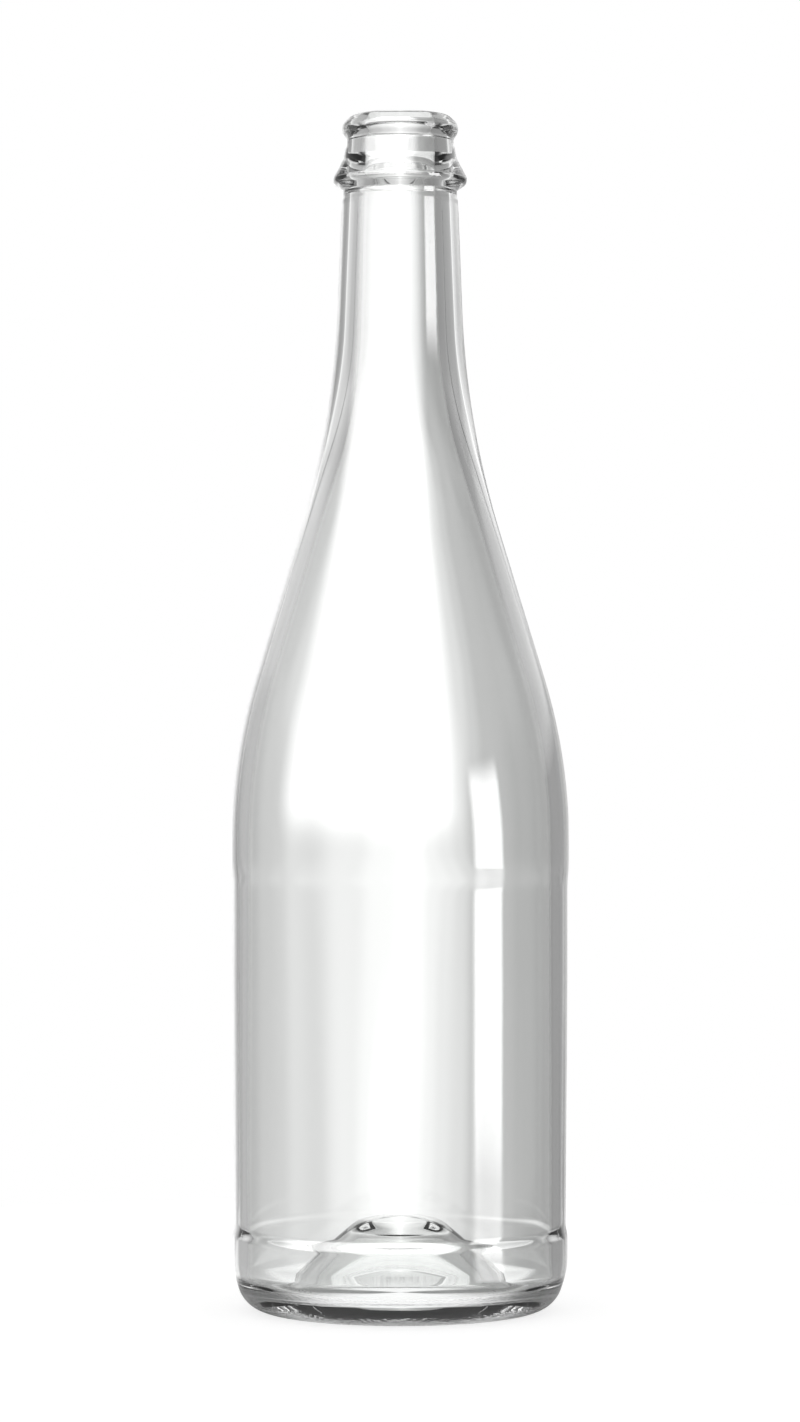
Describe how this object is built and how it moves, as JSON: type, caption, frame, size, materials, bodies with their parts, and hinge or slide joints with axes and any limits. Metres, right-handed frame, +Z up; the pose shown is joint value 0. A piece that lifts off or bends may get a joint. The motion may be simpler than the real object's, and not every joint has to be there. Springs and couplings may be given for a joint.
{
  "type": "sparkling wine bottle",
  "caption": "Empty clear glass bottle for sparkling wine: long sloping shoulder, label panel set in between two contact bands, punted base, and a lip with a collar for cap or wired cork.",
  "frame": {"origin": "centre of the base ring, on the plane the bottle stands on", "axes": "+Z up along the bottle's axis, from the base towards the mouth; the shape is turned about Z, so X and Y are alike"},
  "size_m": [0.0848, 0.0848, 0.3],
  "materials": {
    "clear_glass": "polished clear flint glass"
  },
  "bodies": {
    "root": {"glass_bottle": "clear_glass"}
  },
  "joints": []
}
